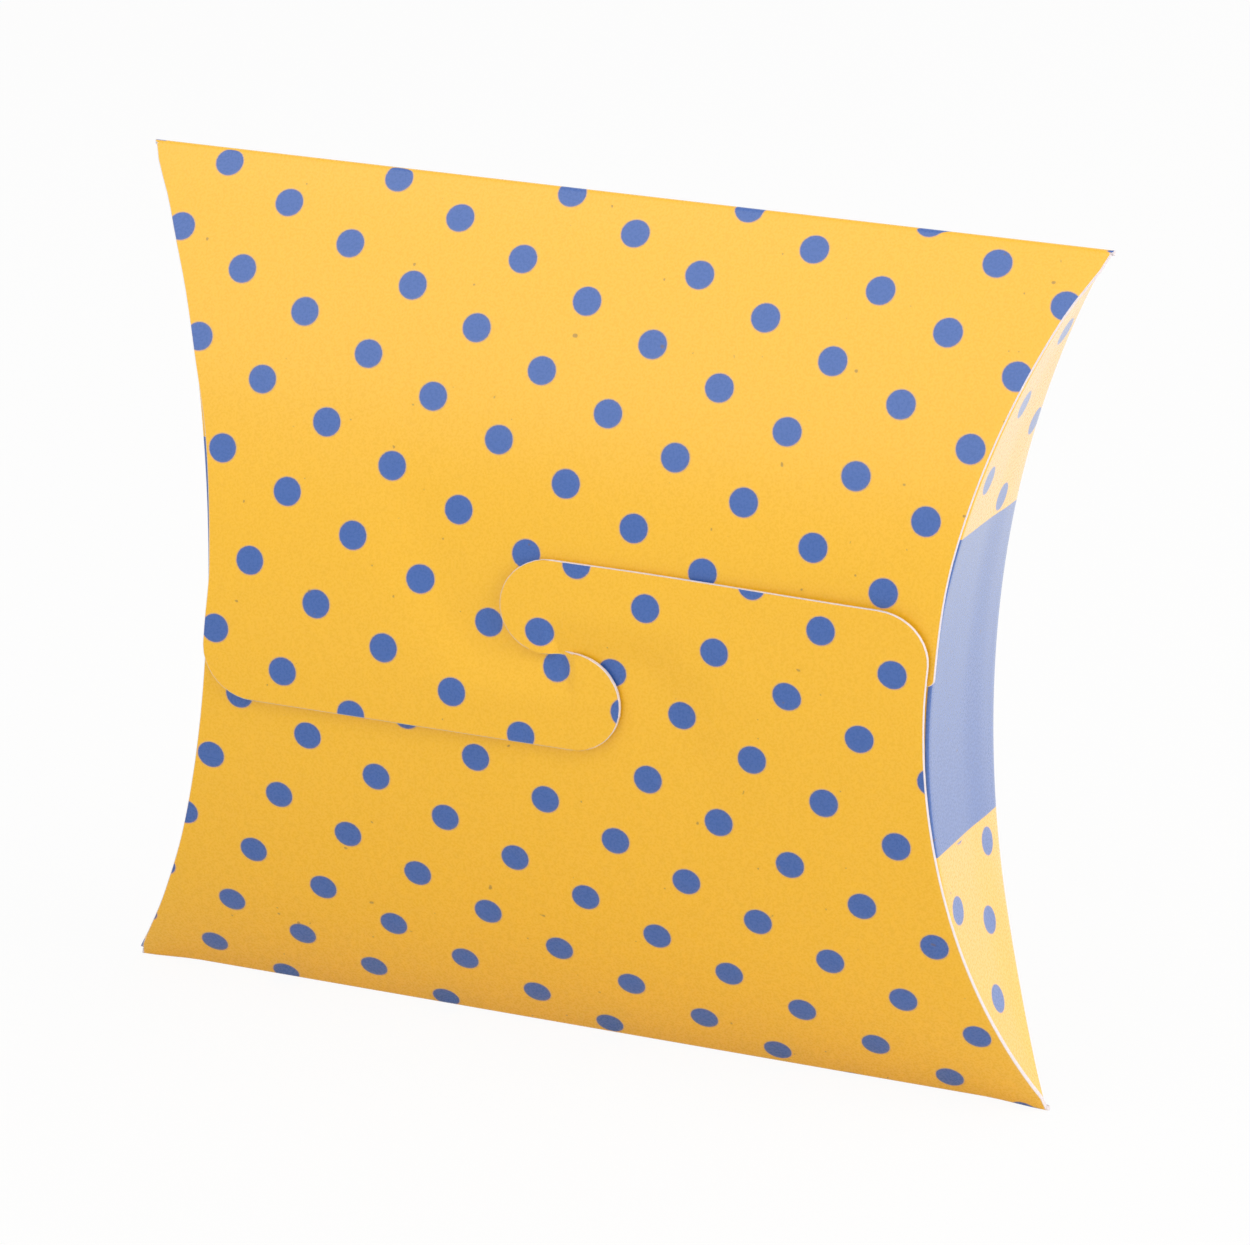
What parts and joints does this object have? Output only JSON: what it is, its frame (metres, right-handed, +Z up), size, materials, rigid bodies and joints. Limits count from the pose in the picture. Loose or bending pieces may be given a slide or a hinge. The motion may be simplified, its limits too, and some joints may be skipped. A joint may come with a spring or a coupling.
{
  "type": "pillow box",
  "caption": "Folded card pillow box with hollow curved ends, tuck tabs and two front flaps that close with an S-shaped slot lock.",
  "frame": {"origin": "on the ground line of the lower crease, under the middle of the box's width and depth", "axes": "+X along the straight creases to the right as seen from the front, the front with its slot lock faces -Y, +Z up from the lower crease to the upper"},
  "size_m": [0.1, 0.0258, 0.0882],
  "materials": {
    "printed_card": "semi-gloss printed outside, white inside"
  },
  "bodies": {
    "back": {"back_panel": "printed_card", "top_fold": "printed_card", "bottom_fold": "printed_card"},
    "upper_flap": {"upper_flap": "printed_card", "upper_hook": "printed_card"},
    "lower_flap": {"lower_flap": "printed_card", "lower_hook": "printed_card"},
    "right_end": {"right_end_panel": "printed_card"},
    "right_tab": {"right_tuck_tab": "printed_card"},
    "left_end": {"left_end_panel": "printed_card"},
    "left_tab": {"left_tuck_tab": "printed_card"}
  },
  "joints": [
    {"name": "upper_flap_fold", "type": "hinge", "parent": "back", "child": "upper_flap", "pos_m": [0, 0.0009, 0.0876], "axis": [-1, 0, 0], "range_deg": [0, 110], "deforming": ["top_fold", "upper_hook"]},
    {"name": "lower_flap_fold", "type": "hinge", "parent": "back", "child": "lower_flap", "pos_m": [0, 0.0009, 0.0006], "axis": [1, 0, 0], "range_deg": [0, 110], "deforming": ["bottom_fold", "lower_hook"]},
    {"name": "right_end_fold", "type": "hinge", "parent": "back", "child": "right_end", "pos_m": [0.038, 0.0129, 0.0441], "axis": [0, 0, 1], "range_deg": [0, 45]},
    {"name": "right_tab_fold", "type": "hinge", "parent": "right_end", "child": "right_tab", "pos_m": [0.0375, -0.0106, 0.0441], "axis": [0, 0, 1], "range_deg": [-45, 0]},
    {"name": "left_end_fold", "type": "hinge", "parent": "back", "child": "left_end", "pos_m": [-0.038, 0.0129, 0.0441], "axis": [0, 0, -1], "range_deg": [0, 45]},
    {"name": "left_tab_fold", "type": "hinge", "parent": "left_end", "child": "left_tab", "pos_m": [-0.0375, -0.0106, 0.0441], "axis": [0, 0, -1], "range_deg": [-45, 0]}
  ],
  "couplings": [
    {"joint": "lower_flap_fold", "follows": "upper_flap_fold", "ratio": 1},
    {"joint": "right_tab_fold", "follows": "right_end_fold", "ratio": -1},
    {"joint": "left_tab_fold", "follows": "left_end_fold", "ratio": -1}
  ]
}
